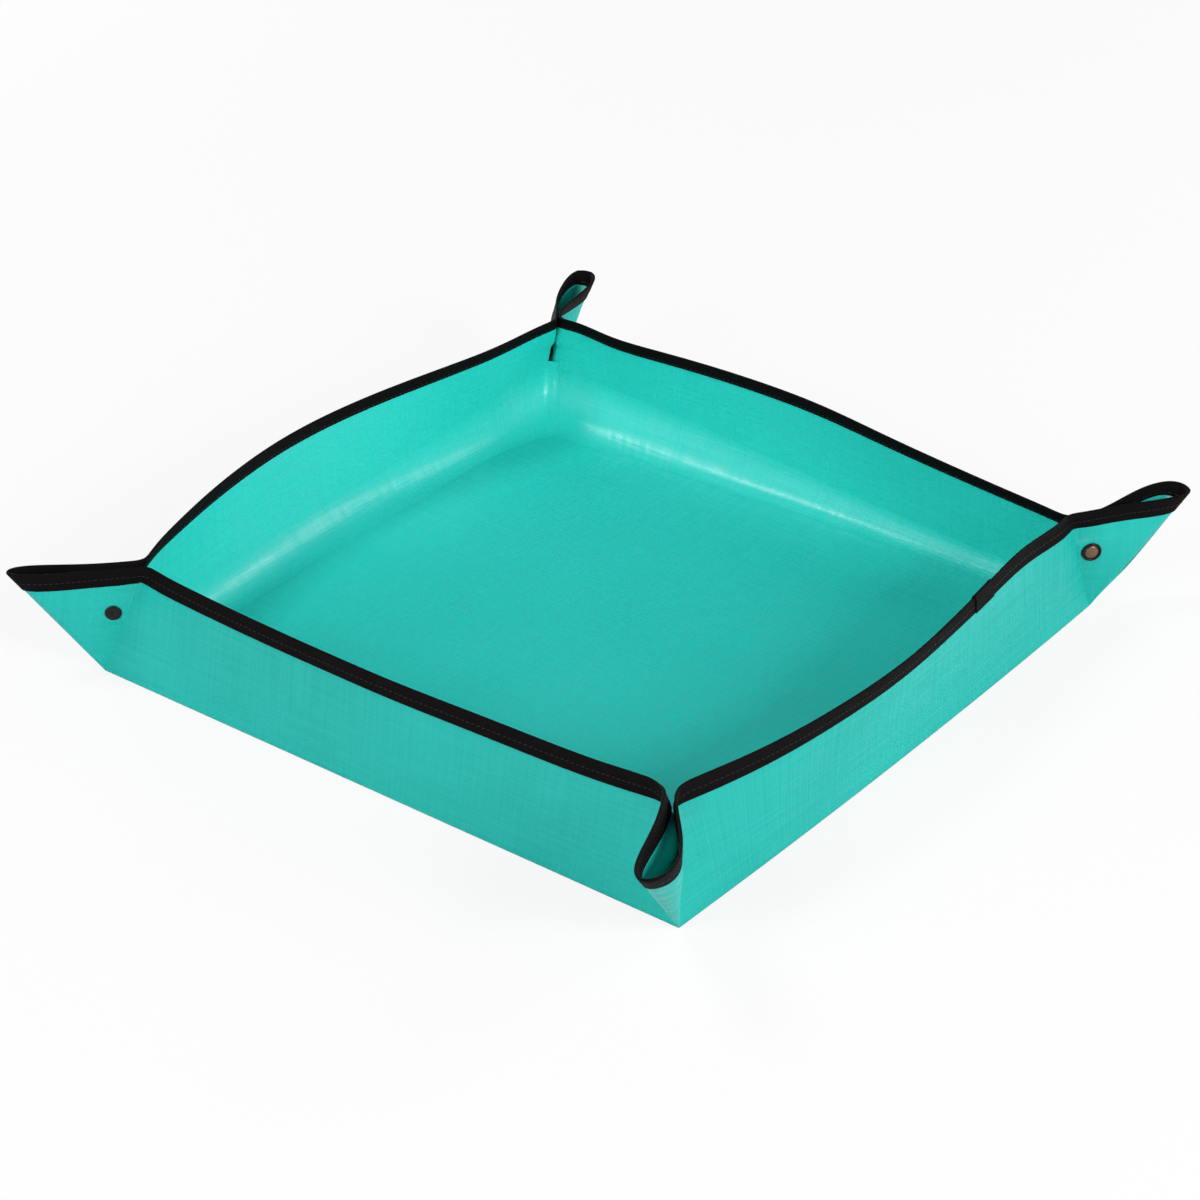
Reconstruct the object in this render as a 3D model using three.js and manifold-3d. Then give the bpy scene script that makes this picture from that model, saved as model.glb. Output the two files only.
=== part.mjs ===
// A repotting mat snapped up into a tray: one bound square sheet whose four corners are pinched into ears.
// Millimetres, +Z up, origin under the middle of the base. The sheet and its binding are split at their folds:
// each wall and each flap of an ear is a surface, and its panel and binding are sections swept along it.
import * as THREE from "three";
import Module from "manifold-3d";
import { mergeVertices } from "three/addons/utils/BufferGeometryUtils.js";

const wasm = await Module();
wasm.setup();

// Sheet and folds
const MAT_SIDE = 680; // the flat mat, over its binding
const WALL_DEPTH = 86; // base fold to rim
const PINCH = 113; // corner of the sheet to the pinch, along the rim
const NECK_GAP = 8; // between the two creases of an ear, at the rim
const SHEET = 0.6; // coated sheet, thickness
const FOLD_RISE = 0.9; // height of the base folds above the ground
const FOLD_GAP = 0.4; // between two panels that share a fold
const FLAP_START = 0.08; // share of a crease that an ear leaves open at the base corner

// Walls, counter-clockwise from the front: lean of the middle of the rim, outward, which end the bow is nearer,
// and how full it is towards the ends
const WALLS = [
  { name: "front", leanDeg: -7.5, skew: -0.6, fullness: 1.1 },
  { name: "right", leanDeg: 5.7, skew: -0.23, fullness: 1.8 },
  { name: "back", leanDeg: -0.6, skew: 0.9, fullness: 1 },
  { name: "left", leanDeg: 15.8, skew: 0.44, fullness: 1 },
];
const BOW_ROUNDING = 0.25; // keeps the middle of a bow smooth, as a share of half a wall

// Ears: each lies between the end of one wall and the start of the next. Its tip may lean to the first and
// stand up, and its flaps belly apart at the rim, each by its opening inside the binding.
const EARS = [
  { name: "front_right", tipLean: 29, tipRise: 5.5, opening: 7.8 },
  { name: "back_right", tipLean: 0, tipRise: 9, opening: 3.8 },
  { name: "back_left", tipLean: 44, tipRise: 0, opening: 5.8 },
  { name: "front_left", tipLean: 0, tipRise: 4, opening: 3.4 },
];
const EAR_DRAW_IN = 16; // how far the rounded loop draws the tip back down the ear's fold
const BELLY_POWER = 1.5; // how late the belly comes
const LEAN_POWER = 1.2; // how late the lean comes
const LOOP_START = { rim: 0.05, snap: 0.36, blendFrom: 0.7 }; // where both start, as a share of the ear's width

// Binding tape, folded over the rim
const BINDING_WIDTH = 13; // outside
const BINDING_INSIDE = 9;
const TAPE = 0.6; // thickness
const SEAT_GAP = 0.3; // between two pieces that touch
const BINDING_GAP = 1.5; // each binding stops this far from a crease

// Press snaps
const SNAP_FROM_RIM = 36; // down the crease
const SNAP_FROM_CREASE = 11;
const CAP = { radius: 7.5, edge: 0.8, height: 1.9 };
const POST = { radius: 6, edge: 0.6, height: 1.3 };
const SHANK_RADIUS = 1.6;
const SOCKET = { radius: 6.2, web: 0.6 };
const STUD = { radius: 5, flange: 0.5, nubRadius: 2.7 };
const PRESS_GAP = { side: 0.5, end: 0.4, rim: 0.8 }; // round the nub in its socket, at its end, and socket to flange
const DOME_SHOULDER = { radius: 0.72, height: 0.7 }; // shares of a head's radius and dome
const DRILL_LENGTH = 3; // cuts right through a flap

// Fineness of the faceted surfaces
const SNAP_SIDES = 16;
const WALL_STEPS = 16;
const FLAP_STEPS = 14;
const PANEL_ROWS = 5;
const SLOPE_STEP = 1e-3; // for a surface's normal
const MERGE_WITHIN = 1e-4; // vertices that count as one

// Worked out from the sizes above
const BASE_HALF = MAT_SIDE / 2 - WALL_DEPTH;
const RIM_INSET = PINCH - WALL_DEPTH; // rim corner in from the base corner, along the wall
const RIM_LEAN_IN = RIM_INSET - NECK_GAP / Math.SQRT2; // the same, square to the wall
const CREASE_LEAN = -Math.asin(RIM_LEAN_IN / WALL_DEPTH);
const NECK = new THREE.Vector3(
  -(RIM_INSET + RIM_LEAN_IN) / Math.SQRT2,
  NECK_GAP / 2,
  WALL_DEPTH * Math.cos(CREASE_LEAN),
);
const BINDING_HALF = SHEET / 2 + SEAT_GAP + TAPE;
const SHEET_EDGE = TAPE + SEAT_GAP; // the sheet stops this far inside the outside of its binding

const sheetFinish = new THREE.MeshStandardMaterial({ color: 0x2cb9b1, roughness: 0.4 });
const bindingFinish = new THREE.MeshStandardMaterial({ color: 0x0e090a, roughness: 0.85 });
const snapFinish = new THREE.MeshStandardMaterial({ color: 0x2b2422, roughness: 0.35, metalness: 0.9 });

// The drawn-in tip of an ear, measured from its base corner: x outward on the diagonal, z up.
// Two lengths of the flat sheet fix it: corner to tip, and pinch to tip.
function earTip({ tipRise }) {
  const foldLength = WALL_DEPTH * Math.SQRT2;
  const neckReach = Math.hypot(NECK.x, NECK.z);
  const along = (foldLength ** 2 + NECK.lengthSq() - PINCH ** 2) / (2 * neckReach);
  const across = Math.sqrt(foldLength ** 2 - along ** 2);
  const up = new THREE.Vector3(NECK.x, 0, NECK.z).divideScalar(neckReach);
  const out = new THREE.Vector3(up.z, 0, -up.x);
  const tip = up.multiplyScalar(along).addScaledVector(out, across).setLength(foldLength - EAR_DRAW_IN);
  tip.z += tipRise;
  return tip;
}

// Distance from the base corner to the rim of a flap, square to the rim.
function rimToCorner(tip) {
  return new THREE.Vector3().crossVectors(NECK, tip).length() / NECK.distanceTo(tip);
}

// A wall in the front wall's place: a from -1 to 1 along it, b in millimetres up from its fold.
function wallSurface({ leanDeg, skew, fullness }) {
  const lean = THREE.MathUtils.degToRad(leanDeg);
  const fall = (a) => Math.hypot(a, BOW_ROUNDING) ** fullness - BOW_ROUNDING ** fullness;
  return (a, b) => {
    const bow = (1 - fall(a) / fall(1)) * (1 + skew * a);
    const tilt = THREE.MathUtils.lerp(CREASE_LEAN, lean, bow);
    const half = BASE_HALF - (RIM_INSET * b) / WALL_DEPTH;
    return new THREE.Vector3(a * half, -BASE_HALF - b * Math.sin(tilt), FOLD_RISE + b * Math.cos(tilt));
  };
}

// One flap of an ear, from the base corner with x outward on the diagonal: a from 0 at the crease to 1 at the
// fold, b in millimetres up. The flap on side 1 belongs to the wall that starts at this corner.
function flapSurface(form, side) {
  const tip = earTip(form);
  const height = rimToCorner(tip);
  return (a, b) => {
    const rise = b / height;
    const across = Math.sin((a * Math.PI) / 2);
    const toRim = THREE.MathUtils.smoothstep(rise, LOOP_START.blendFrom, 1);
    const start = THREE.MathUtils.lerp(LOOP_START.snap, LOOP_START.rim, toRim);
    const open = Math.max(0, (across - start) / (1 - start));
    const roundEnd = (Math.SQRT2 * Math.sin(((1 - a) * Math.PI) / 4)) / Math.sqrt(1 - start);
    const belly = ((form.opening + BINDING_HALF) * open ** BELLY_POWER * roundEnd) / bellyPeak();
    const lean = form.tipLean * open ** LEAN_POWER;
    const point = NECK.clone().lerp(tip, across);
    point.y = side * (point.y + belly) - lean;
    point.multiplyScalar(rise);
    point.x -= (across * (SHEET + FOLD_GAP)) / 2; // room for two edges at the fold when the mat lies flat
    point.y += (side * FOLD_GAP) / 2;
    point.z += FOLD_RISE;
    return point;
  };
}

// The largest value of the belly's formula, so that an ear's opening is a real size. A square root has power a half.
function bellyPeak() {
  const at = BELLY_POWER / (BELLY_POWER + 1 / 2);
  return at ** BELLY_POWER * Math.sqrt(1 - at);
}

// The unit normal of a surface, by small steps.
function normalOf(surface, a, b) {
  const alongA = surface(a + SLOPE_STEP, b).sub(surface(a - SLOPE_STEP, b));
  const alongB = surface(a, b + SLOPE_STEP).sub(surface(a, b - SLOPE_STEP));
  return alongA.cross(alongB).normalize();
}

// A closed section, in offset from a surface and height on it, swept along a surface from station to station.
// The pieces of one surface share their stations, and every quad is split from its low start to its high end, so
// that they lie parallel on a twisted surface.
function swept(surface, section, stations) {
  const count = section.length;
  const steps = stations.length - 1;
  const points = [];
  const faces = [];
  for (const a of stations) {
    for (const { x: offset, y: b } of section) {
      points.push(surface(a, b).addScaledVector(normalOf(surface, a, b), offset));
    }
  }
  for (let i = 0; i < steps; i += 1) {
    for (let j = 0; j < count; j += 1) {
      const next = (j + 1) % count;
      const [p, q] = [i * count + j, i * count + next];
      const [r, s] = [p + count, q + count];
      const rising = section[next].y > section[j].y;
      faces.push(...(rising ? [p, q, s, p, s, r] : [p, q, r, q, s, r]));
    }
  }
  const last = steps * count;
  for (const [p, q, r] of THREE.ShapeUtils.triangulateShape(section, [])) {
    faces.push(r, q, p, last + p, last + q, last + r);
  }
  const geometry = new THREE.BufferGeometry().setFromPoints(points);
  return closed(geometry.setIndex(faces));
}

// Even stations along a wall, from -1 to 1, and along a flap, from 0 to 1, cut off at each end.
function wallStations(end) {
  const at = (i) => THREE.MathUtils.clamp((2 * i) / WALL_STEPS - 1, -end, end);
  return Array.from({ length: WALL_STEPS + 1 }, (_, i) => at(i));
}

function flapStations(start) {
  return Array.from({ length: FLAP_STEPS + 1 }, (_, i) => Math.max(start, i / FLAP_STEPS));
}

// A geometry with shared vertices merged, slivers dropped and its faces turned outward.
function closed(geometry) {
  geometry.deleteAttribute("normal");
  geometry.deleteAttribute("uv");
  const merged = mergeVertices(geometry, MERGE_WITHIN);
  const corners = merged.index.array;
  const kept = [];
  let volume = 0;
  const at = (i) => new THREE.Vector3().fromBufferAttribute(merged.attributes.position, i);
  for (let i = 0; i < corners.length; i += 3) {
    const [p, q, r] = [corners[i], corners[i + 1], corners[i + 2]];
    if (p === q || q === r || r === p) continue;
    kept.push(p, q, r);
    volume += at(p).dot(at(q).cross(at(r)));
  }
  merged.setIndex(volume < 0 ? kept.reverse() : kept);
  merged.computeVertexNormals();
  return merged;
}

// A panel of the sheet on its surface, with a row of vertices at each height.
function sheetPanel(surface, heights, stations) {
  const side = (offset) => heights.map((b) => new THREE.Vector2(offset, b));
  return swept(surface, [...side(SHEET / 2), ...side(-SHEET / 2).reverse()], stations);
}

// Binding tape folded over the rim of a surface whose rim is at the given height. Its wide side is outside, which
// is where the surface's normal points or, for outward -1, behind it.
function binding(surface, outward, rim, stations) {
  const slot = SHEET / 2 + SEAT_GAP;
  const narrow = [rim - BINDING_INSIDE];
  const wide = [rim - BINDING_INSIDE, rim - BINDING_WIDTH];
  const [behind, before] = outward > 0 ? [narrow, wide] : [wide, narrow];
  const leg = (offset, rows) => rows.map((b) => new THREE.Vector2(offset, b));
  const section = [
    ...leg(-BINDING_HALF, [rim, ...behind]),
    ...leg(-slot, [rim - TAPE, ...behind]).reverse(),
    ...leg(slot, [rim - TAPE, ...before]),
    ...leg(BINDING_HALF, [rim, ...before]).reverse(),
  ];
  return swept(surface, section, stations);
}

// Heights of a panel's rows: evenly spaced up to the binding, and then its inside edge and the sheet's own edge.
function rowHeights(from, rim) {
  const rows = [];
  for (let i = 0; i <= PANEL_ROWS; i += 1) {
    rows.push(THREE.MathUtils.lerp(from, rim - BINDING_WIDTH, i / PANEL_ROWS));
  }
  return [...rows, rim - BINDING_INSIDE, rim - SHEET_EDGE];
}

// A turned piece from points of radius and height.
function turned(profile) {
  const points = profile.map(([radius, height]) => new THREE.Vector2(radius, height));
  return closed(new THREE.LatheGeometry(points, SNAP_SIDES));
}

// A headed rivet over the outside of a flap, with its shank through the sheet and the piece behind it.
function rivet({ radius, edge, height }, shankEnd) {
  const seat = SHEET / 2 + SEAT_GAP;
  return turned([
    [0, shankEnd],
    [SHANK_RADIUS, shankEnd],
    [SHANK_RADIUS, seat],
    [radius, seat],
    [radius, seat + edge],
    [radius * DOME_SHOULDER.radius, seat + edge + (height - edge) * DOME_SHOULDER.height],
    [0, seat + height],
  ]);
}

// The socket behind a cap: a ring on a thin web, open towards the stud of a flap this far behind.
function socket(flapGap) {
  const back = -SHEET / 2 - SEAT_GAP;
  const face = -flapGap - back + STUD.flange + PRESS_GAP.rim;
  const bore = SHANK_RADIUS + SEAT_GAP;
  const recess = STUD.nubRadius + PRESS_GAP.side;
  return turned([
    [bore, back],
    [SOCKET.radius, back],
    [SOCKET.radius, face],
    [recess, face],
    [recess, back - SOCKET.web],
    [bore, back - SOCKET.web],
    [bore, back],
  ]);
}

// The stud behind a post: a flange with a hollow nub that presses into the socket on a flap this far behind.
function stud(flapGap) {
  const back = -SHEET / 2 - SEAT_GAP;
  const flange = back - STUD.flange;
  const nub = -flapGap - back + SOCKET.web + PRESS_GAP.end;
  const bore = SHANK_RADIUS + SEAT_GAP;
  return turned([
    [bore, back],
    [STUD.radius, back],
    [STUD.radius, flange],
    [STUD.nubRadius, flange],
    [STUD.nubRadius, nub],
    [bore, nub],
    [bore, back],
  ]);
}

function solidOf(geometry) {
  const vertProperties = new Float32Array(geometry.attributes.position.array);
  const triVerts = new Uint32Array(geometry.index.array);
  return new wasm.Manifold(new wasm.Mesh({ numProp: 3, vertProperties, triVerts }));
}

// A sheet panel with a round hole at a seat for the shank of a snap.
function pierced(panel, seat) {
  seat.updateMatrix();
  const bore = SHANK_RADIUS + SEAT_GAP;
  const drill = new THREE.CylinderGeometry(bore, bore, DRILL_LENGTH, SNAP_SIDES).applyMatrix4(seat.matrix);
  const cut = solidOf(panel).subtract(solidOf(closed(drill))).getMesh();
  const geometry = new THREE.BufferGeometry();
  geometry.setAttribute("position", new THREE.BufferAttribute(cut.vertProperties, 3));
  geometry.setIndex(new THREE.BufferAttribute(cut.triVerts, 1));
  geometry.computeVertexNormals();
  return geometry;
}

function mesh(name, geometry, finish) {
  const made = new THREE.Mesh(geometry, finish);
  made.name = name;
  return made;
}

function basePanel() {
  const side = 2 * BASE_HALF - FOLD_GAP;
  const panel = mesh("base_panel", closed(new THREE.BoxGeometry(side, side, SHEET)), sheetFinish);
  panel.position.z = SHEET / 2;
  return panel;
}

function wall(form) {
  const group = new THREE.Group();
  const surface = wallSurface(form);
  const panelEnd = 1 - FOLD_GAP / BASE_HALF;
  const bindingEnd = 1 - BINDING_GAP / (BASE_HALF - RIM_INSET);
  const panel = sheetPanel(surface, rowHeights(FOLD_GAP, WALL_DEPTH), wallStations(panelEnd));
  const tape = binding(surface, 1, WALL_DEPTH, wallStations(bindingEnd));
  group.add(mesh(`${form.name}_wall`, panel, sheetFinish));
  group.add(mesh(`${form.name}_wall_binding`, tape, bindingFinish));
  return group;
}

// Where a snap is on an ear, in the terms of its flaps' surfaces, and how far apart the flaps are there.
function snapPlace(tip) {
  const share = 1 - SNAP_FROM_RIM / WALL_DEPTH;
  const across = SNAP_FROM_CREASE / (NECK.distanceTo(tip) * share);
  return {
    a: (Math.asin(across) * 2) / Math.PI,
    b: rimToCorner(tip) * share,
    flapGap: NECK_GAP * share * (1 - across) + FOLD_GAP,
  };
}

// The seat of a snap half on a flap, with y along the flap's outward normal.
function snapSeat(surface, side, { a, b }) {
  const outward = normalOf(surface, a, b).multiplyScalar(-side);
  const seat = new THREE.Group();
  seat.position.copy(surface(a, b));
  seat.quaternion.setFromUnitVectors(new THREE.Vector3(0, 1, 0), outward);
  return seat;
}

// One flap of an ear with its binding and its half of the snap.
function earFlap(form, wallName, side) {
  const group = new THREE.Group();
  const surface = flapSurface(form, side);
  const tip = earTip(form);
  const rim = rimToCorner(tip);
  const rimLength = NECK.distanceTo(tip);
  const panelStart = FOLD_GAP / rimLength;
  const bindingStart = BINDING_GAP / rimLength;
  const panel = sheetPanel(surface, rowHeights(rim * FLAP_START, rim), flapStations(panelStart));
  const tape = binding(surface, -side, rim, flapStations(bindingStart));
  const place = snapPlace(tip);
  const seat = snapSeat(surface, side, place);
  group.add(mesh(`${form.name}_ear_${wallName}_flap`, pierced(panel, seat), sheetFinish));
  group.add(mesh(`${form.name}_ear_${wallName}_binding`, tape, bindingFinish));
  const webBack = -SHEET / 2 - SEAT_GAP - SOCKET.web;
  if (side < 0) {
    seat.add(mesh(`${form.name}_snap_cap`, rivet(CAP, webBack), snapFinish));
    seat.add(mesh(`${form.name}_snap_socket`, socket(place.flapGap), snapFinish));
  } else {
    seat.add(mesh(`${form.name}_snap_post`, rivet(POST, webBack), snapFinish));
    seat.add(mesh(`${form.name}_snap_stud`, stud(place.flapGap), snapFinish));
  }
  group.add(seat);
  return group;
}

const mat = new THREE.Group();
mat.add(basePanel());
WALLS.forEach((form, k) => {
  const group = wall(form);
  group.rotation.z = (k * Math.PI) / 2;
  mat.add(group);
});
EARS.forEach((form, k) => {
  const group = new THREE.Group();
  const angle = (k * Math.PI) / 2 - Math.PI / 4;
  const reach = BASE_HALF * Math.SQRT2;
  group.position.set(reach * Math.cos(angle), reach * Math.sin(angle), 0);
  group.rotation.z = angle;
  group.add(earFlap(form, WALLS[k].name, -1));
  group.add(earFlap(form, WALLS[(k + 1) % WALLS.length].name, 1));
  mat.add(group);
});

export default mat;
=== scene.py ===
"""A repotting mat, snapped up at its four corners into a shallow tray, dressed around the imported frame."""

import logging
import math
from abc import ABC, abstractmethod
from collections.abc import Callable, Iterable, Sequence
from dataclasses import dataclass, replace
from enum import Enum

import bmesh
import bpy
from bmesh.types import BMesh, BMVert
from bpy.types import Material, Node, NodeSocket, NodeTree, Object
from mathutils import Matrix, Vector, noise


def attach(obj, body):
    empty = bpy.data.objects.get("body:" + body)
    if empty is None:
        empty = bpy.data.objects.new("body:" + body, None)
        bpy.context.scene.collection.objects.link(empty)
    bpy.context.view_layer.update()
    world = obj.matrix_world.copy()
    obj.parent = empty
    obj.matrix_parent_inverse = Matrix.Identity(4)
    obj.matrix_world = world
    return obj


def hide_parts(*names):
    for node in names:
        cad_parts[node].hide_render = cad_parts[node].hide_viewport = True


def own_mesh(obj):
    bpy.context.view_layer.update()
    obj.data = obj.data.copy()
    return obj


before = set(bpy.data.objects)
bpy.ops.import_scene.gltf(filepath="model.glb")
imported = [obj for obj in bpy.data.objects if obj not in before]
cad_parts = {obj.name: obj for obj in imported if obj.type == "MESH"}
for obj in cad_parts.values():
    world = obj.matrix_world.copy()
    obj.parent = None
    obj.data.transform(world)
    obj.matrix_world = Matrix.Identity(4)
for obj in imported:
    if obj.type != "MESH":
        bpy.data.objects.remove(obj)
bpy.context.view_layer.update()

LOG = logging.getLogger("repotting_mat")
CLOTH_MAP = "cloth"
UP = Vector((0, 0, 1))
DOUBLES_APART = 1e-5
SHARP_DEG = 50


def lerp(start: float, end: float, share: float) -> float:
    """Go a share of the way from start to end."""
    return start + (end - start) * share


def smoothstep(value: float, low: float, high: float) -> float:
    """Ease from 0 at low to 1 at high."""
    share = min(1.0, max(0.0, (value - low) / (high - low)))
    return share * share * (3 - 2 * share)


def turned(point: Vector, angle: float) -> Vector:
    """Turn a point about the mat's middle, seen from above."""
    return Matrix.Rotation(angle, 3, "Z") @ point


class Slot(Enum):
    """The record's material slots."""

    SHEET = "coated_sheet"
    TAPE = "binding_tape"
    METAL = "snap_metal"


class FlapSide(Enum):
    """The wall that a flap carries on from: the one that ends at the ear's corner, or starts there."""

    ENDING = -1
    STARTING = 1


@dataclass(frozen=True)
class MatSizes:
    """The sizes of the mat and of its fold, in metres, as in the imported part."""

    side: float = 0.680
    wall_depth: float = 0.086
    pinch: float = 0.113
    neck_gap: float = 0.008
    sheet: float = 0.0006
    fold_rise: float = 0.0009
    sheet_edge: float = 0.0009
    fold_turn_deg: float = 45.388

    @property
    def base_half(self) -> float:
        """Half the side of the floor between the fold lines."""
        return self.side / 2 - self.wall_depth

    @property
    def rim_inset(self) -> float:
        """How far in from the floor's corner a crease meets the rim, along its wall."""
        return self.pinch - self.wall_depth

    @property
    def lean_in(self) -> float:
        """How far a crease leans in over the floor at the rim."""
        return self.rim_inset - self.neck_gap / math.sqrt(2)

    @property
    def crease_lean(self) -> float:
        """The lean of a wall at its creases, outwards being positive."""
        return -math.asin(self.lean_in / self.wall_depth)

    @property
    def neck(self) -> Vector:
        """The rim's end of a crease, from the floor's corner, with x out along the diagonal."""
        reach = (self.rim_inset + self.lean_in) / math.sqrt(2)
        return Vector((-reach, self.neck_gap / 2, self.wall_depth * math.cos(self.crease_lean)))

    @property
    def fold_turn(self) -> float:
        """How far a flap is turned from its wall."""
        return math.radians(self.fold_turn_deg)


@dataclass(frozen=True)
class RollEnd:
    """The soft roll at one end of a wall's foot: how far in it stands, its reach, its fade and its lip."""

    inset: float
    over_floor: float
    up_wall: float
    fade: float = 1.0
    lip: float = 0.0


@dataclass(frozen=True)
class WallForm:
    """How one wall stands: its lean and bow, the roll at its foot, its waves and where its tape laps."""

    name: str
    turn: int
    lean_deg: float
    skew: float
    fullness: float
    roll_start: RollEnd
    roll_end: RollEnd
    foot_bow: float
    wave: float
    tape_lap: tuple[float, float] | None = None


@dataclass(frozen=True)
class SideForm:
    """One side of an ear: the clear width of its half of the loop, and the pull on its neck."""

    opening: float
    pull: tuple[float, float, float] = (0.0, 0.0, 0.0)
    spread: float = 0.05


@dataclass(frozen=True)
class EarForm:
    """How one ear stands: its tip's place, how round its loop and shoulder are, and its two sides."""

    name: str
    turn: int
    draw_in: float
    tip_lean: float
    fullness: float
    shut: float
    shoulder: float
    ending: SideForm
    starting: SideForm

    def side(self, side: FlapSide) -> SideForm:
        """The form of one of its sides."""
        return self.ending if side is FlapSide.ENDING else self.starting


FRONT_RIGHT_ROLL = RollEnd(inset=0.0, over_floor=0.012, up_wall=0.012)
BACK_RIGHT_ROLL = RollEnd(inset=0.0, over_floor=0.017, up_wall=0.017)
BACK_LEFT_ROLL = RollEnd(inset=0.024, over_floor=0.016, up_wall=0.046, fade=2.0, lip=0.0022)
FRONT_LEFT_ROLL = RollEnd(inset=0.0, over_floor=0.022, up_wall=0.026)
WALLS = (
    WallForm(
        name="front", turn=0, lean_deg=-7.5, skew=-0.6, fullness=1.1,
        roll_start=FRONT_LEFT_ROLL, roll_end=FRONT_RIGHT_ROLL, foot_bow=0.0, wave=0.0007,
    ),
    WallForm(
        name="right", turn=1, lean_deg=5.7, skew=-0.23, fullness=1.8,
        roll_start=FRONT_RIGHT_ROLL, roll_end=BACK_RIGHT_ROLL, foot_bow=0.004, wave=0.0007,
        tape_lap=(0.69, 0.75),
    ),
    WallForm(
        name="back", turn=2, lean_deg=-0.6, skew=0.9, fullness=1.0,
        roll_start=BACK_RIGHT_ROLL, roll_end=BACK_LEFT_ROLL, foot_bow=0.0, wave=0.0008,
    ),
    WallForm(
        name="left", turn=3, lean_deg=15.8, skew=0.44, fullness=1.0,
        roll_start=replace(BACK_LEFT_ROLL, fade=7.0), roll_end=FRONT_LEFT_ROLL, foot_bow=0.0, wave=0.0008,
    ),
)
BACK_LEFT_PULL = (0.006, -0.0080, 0.0055)
EARS = (
    EarForm(
        name="front_right", turn=0, draw_in=-0.006, tip_lean=0.033, fullness=1.8, shut=0.0, shoulder=0.034,
        ending=SideForm(opening=0.010, pull=(0, -0.003, 0.0065)),
        starting=SideForm(opening=0.012, pull=(0, -0.003, 0.0025)),
    ),
    EarForm(
        name="back_right", turn=1, draw_in=0.011, tip_lean=-0.013, fullness=2.1, shut=0.62, shoulder=0.018,
        ending=SideForm(opening=0.006, pull=(0.0125, 0, -0.0045)),
        starting=SideForm(opening=0.016, pull=(0.0125, 0, -0.0085), spread=0.06),
    ),
    EarForm(
        name="back_left", turn=2, draw_in=0.0145, tip_lean=0.036, fullness=1.9, shut=0.64, shoulder=0.018,
        ending=SideForm(opening=0.016, pull=BACK_LEFT_PULL, spread=0.042),
        starting=SideForm(opening=0.004, pull=BACK_LEFT_PULL, spread=0.042),
    ),
    EarForm(
        name="front_left", turn=3, draw_in=0.023, tip_lean=0.0164, fullness=2.0, shut=0.62, shoulder=0.018,
        ending=SideForm(opening=0.006, pull=(0, 0, 0.004)),
        starting=SideForm(opening=0.004, pull=(0, 0, 0.0005)),
    ),
)


@dataclass(frozen=True)
class Corner:
    """A corner of the floor: what its two walls and its ear share, with x out along the diagonal."""

    ear: EarForm
    sizes: MatSizes
    low_radius: float = 0.002
    opens_from: float = 0.6
    least_gap: float = 0.00032
    pull_from: float = 0.4
    held_from: tuple[float, float] = (0.43, 0.51)
    held_to: tuple[float, float] = (0.67, 0.75)
    neck_from: float = 0.78
    foot_share: float = 0.1

    @property
    def angle(self) -> float:
        """The direction of the diagonal."""
        return self.ear.turn * math.pi / 2 - math.pi / 4

    @property
    def place(self) -> Vector:
        """The floor's corner."""
        return turned(Vector((self.sizes.base_half * math.sqrt(2), 0, self.sizes.fold_rise)), self.angle)

    def to_mat(self, spot: Vector) -> Vector:
        """A place by the corner as a place on the mat."""
        return self.place + turned(spot, self.angle)

    def from_mat(self, point: Vector) -> Vector:
        """A place on the mat as a place by the corner."""
        return turned(point - self.place, -self.angle)

    def half_gap(self, rise: float) -> float:
        """Half the gap between an ear's flaps at a share of the crease, which only the snap holds apart."""
        held = smoothstep(rise, *self.held_from) * (1 - smoothstep(rise, *self.held_to))
        neck = (1 - self.ear.shut) * smoothstep(rise, self.neck_from, 1)
        gap = self.sizes.neck_gap / 2 * rise * max(held, neck)
        return max(gap, self.least_gap * smoothstep(rise, 0, self.foot_share))

    def drop(self, distance: float, rise: float) -> float:
        """How far a rounded crease stands back from a sharp one.

        Args:
            distance: How far the place is from the crease, along the sheet.
            rise: How far up the crease it is, from 0 to 1.

        Returns:
            The distance back from the sharp crease.
        """
        radius = lerp(self.low_radius, self.ear.shoulder, smoothstep(rise, self.opens_from, 1))
        reach = radius * math.tan(self.sizes.fold_turn / 2)
        return max(0.0, reach - distance) ** 2 / (2 * radius)

    def pulled(self, spot: Vector, side: FlapSide) -> Vector:
        """Pull a place by the corner as its neck is pulled, less the further it is from the neck.

        Args:
            spot: The place.
            side: The side of the ear that it is on.

        Returns:
            The place after the pull.
        """
        form = self.ear.side(side)
        neck = self.sizes.neck
        far = (spot - Vector((neck.x, 0, neck.z))).length_squared
        held = math.exp(-far / form.spread**2) * smoothstep(spot.z / neck.z, 0, self.pull_from)
        return spot + Vector(form.pull) * held


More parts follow.
